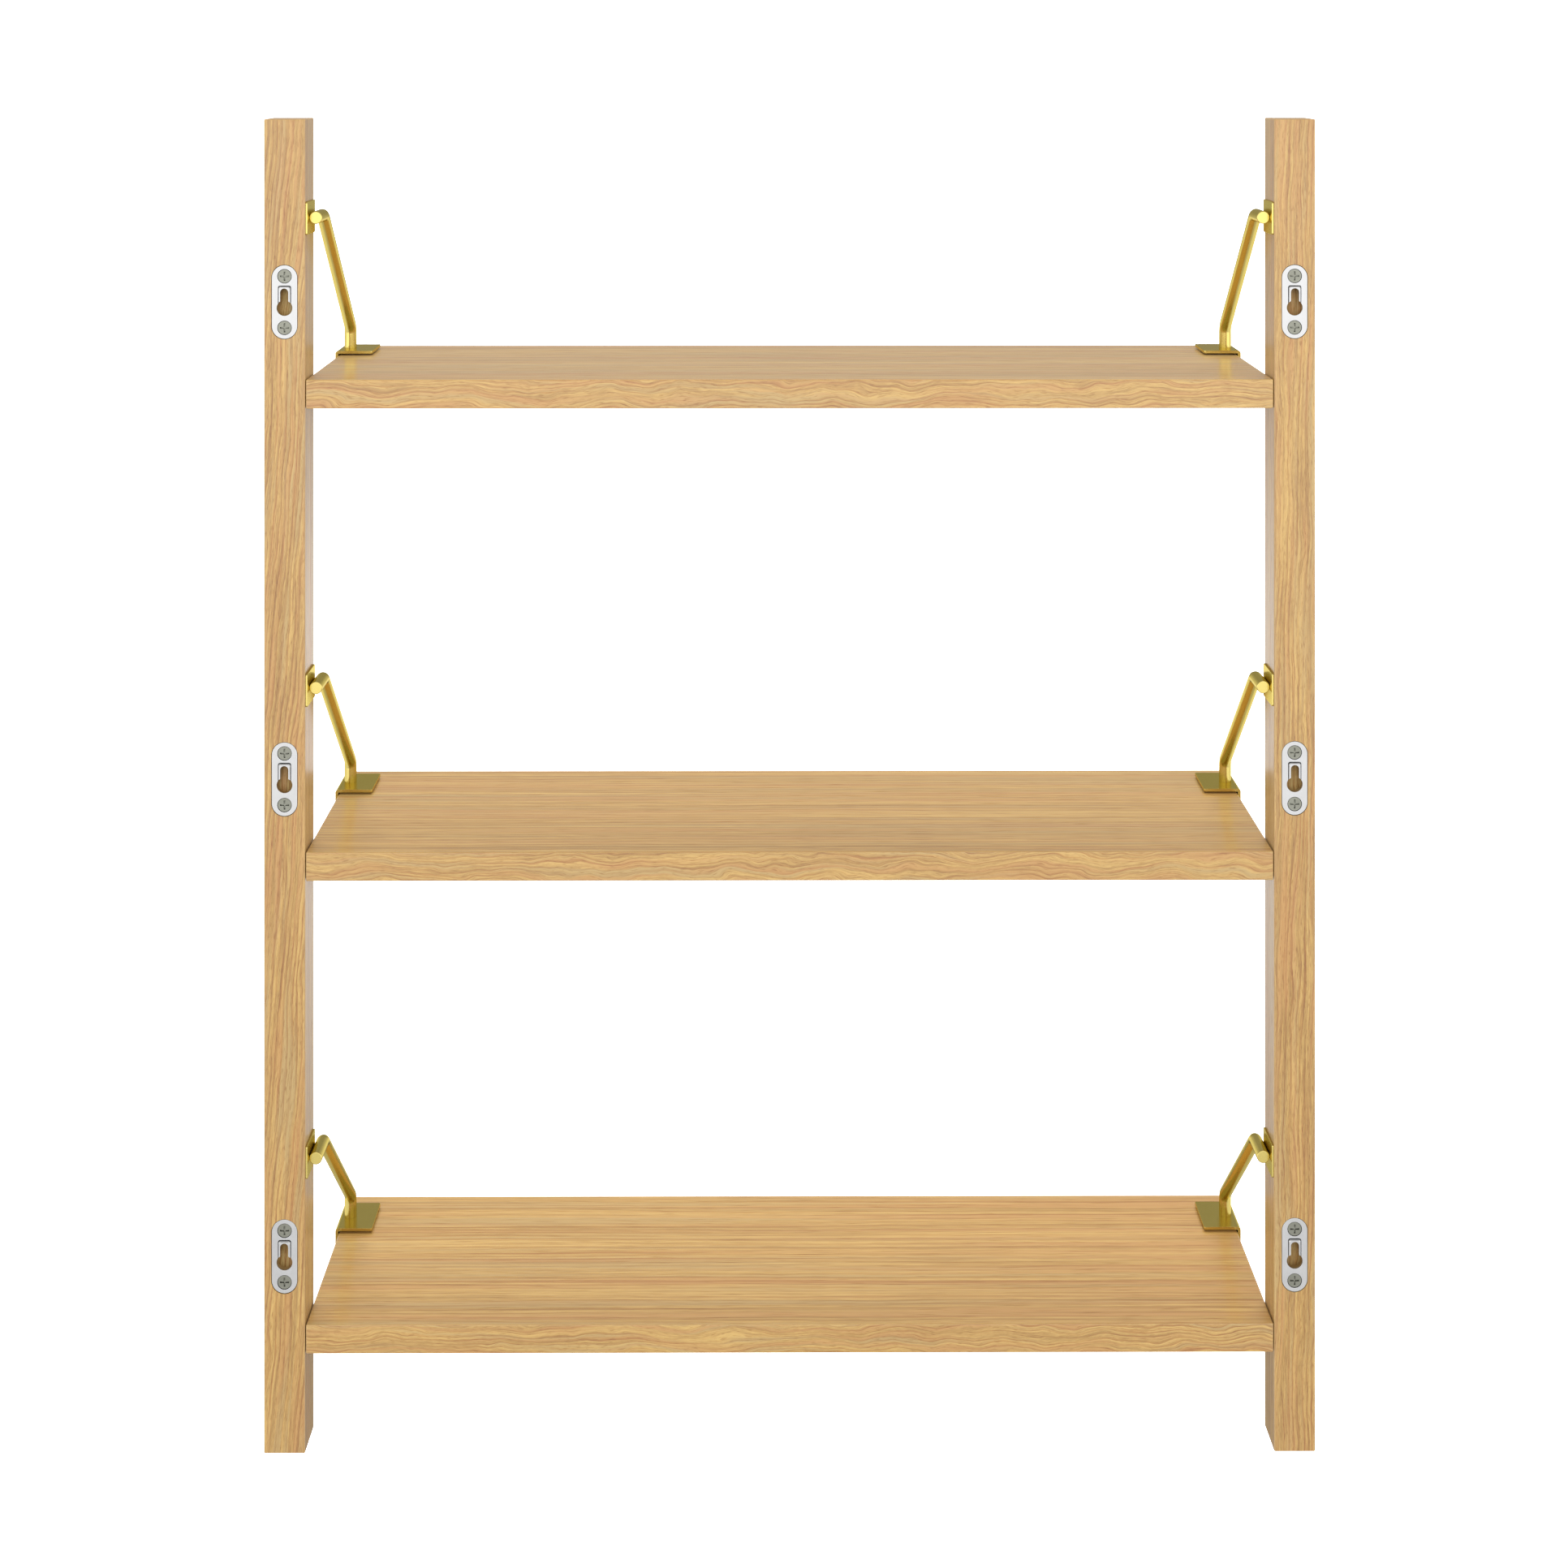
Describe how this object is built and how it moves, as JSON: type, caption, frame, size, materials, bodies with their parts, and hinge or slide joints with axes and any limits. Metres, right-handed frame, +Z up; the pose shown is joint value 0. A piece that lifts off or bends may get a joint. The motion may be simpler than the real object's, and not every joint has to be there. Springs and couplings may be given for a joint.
{
  "type": "wall shelf with brackets",
  "caption": "Wall shelf of oak boards between two square oak uprights, held by bent brass rod brackets with folded clips, hung on keyhole plates let into the uprights' backs.",
  "frame": {"origin": "On the wall plane, at the centre of the six keyhole hangers, midway between the two middle ones", "axes": "+Z up, +X along the shelves to the right as seen from the room, +Y into the wall; the shelves reach out to -Y"},
  "size_m": [0.6526, 0.1507, 0.8275],
  "materials": {
    "oak": "satin lacquer",
    "brass": "satin",
    "hanger_steel": "bright zinc plate",
    "screw_steel": "dull zinc plate"
  },
  "bodies": {
    "root": {"shelf_top": "oak", "shelf_middle": "oak", "shelf_bottom": "oak", "upright_left": "oak", "upright_right": "oak", "side_plate_top_left": "brass", "bracket_rod_top_left": "brass", "shelf_clip_top_left": "brass", "plate_screw_top_left": "brass", "clip_screw_top_left": "brass", "shelf_screw_top_left": "screw_steel", "hanger_top_left": "hanger_steel", "hanger_screw_top_left_upper": "screw_steel", "hanger_screw_top_left_lower": "screw_steel", "side_plate_top_right": "brass", "bracket_rod_top_right": "brass", "shelf_clip_top_right": "brass", "plate_screw_top_right": "brass", "clip_screw_top_right": "brass", "shelf_screw_top_right": "screw_steel", "hanger_top_right": "hanger_steel", "hanger_screw_top_right_upper": "screw_steel", "hanger_screw_top_right_lower": "screw_steel", "side_plate_middle_left": "brass", "bracket_rod_middle_left": "brass", "shelf_clip_middle_left": "brass", "plate_screw_middle_left": "brass", "clip_screw_middle_left": "brass", "shelf_screw_middle_left": "screw_steel", "hanger_middle_left": "hanger_steel", "hanger_screw_middle_left_upper": "screw_steel", "hanger_screw_middle_left_lower": "screw_steel", "side_plate_middle_right": "brass", "bracket_rod_middle_right": "brass", "shelf_clip_middle_right": "brass", "plate_screw_middle_right": "brass", "clip_screw_middle_right": "brass", "shelf_screw_middle_right": "screw_steel", "hanger_middle_right": "hanger_steel", "hanger_screw_middle_right_upper": "screw_steel", "hanger_screw_middle_right_lower": "screw_steel", "side_plate_bottom_left": "brass", "bracket_rod_bottom_left": "brass", "shelf_clip_bottom_left": "brass", "plate_screw_bottom_left": "brass", "clip_screw_bottom_left": "brass", "shelf_screw_bottom_left": "screw_steel", "hanger_bottom_left": "hanger_steel", "hanger_screw_bottom_left_upper": "screw_steel", "hanger_screw_bottom_left_lower": "screw_steel", "side_plate_bottom_right": "brass", "bracket_rod_bottom_right": "brass", "shelf_clip_bottom_right": "brass", "plate_screw_bottom_right": "brass", "clip_screw_bottom_right": "brass", "shelf_screw_bottom_right": "screw_steel", "hanger_bottom_right": "hanger_steel", "hanger_screw_bottom_right_upper": "screw_steel", "hanger_screw_bottom_right_lower": "screw_steel"}
  },
  "joints": []
}
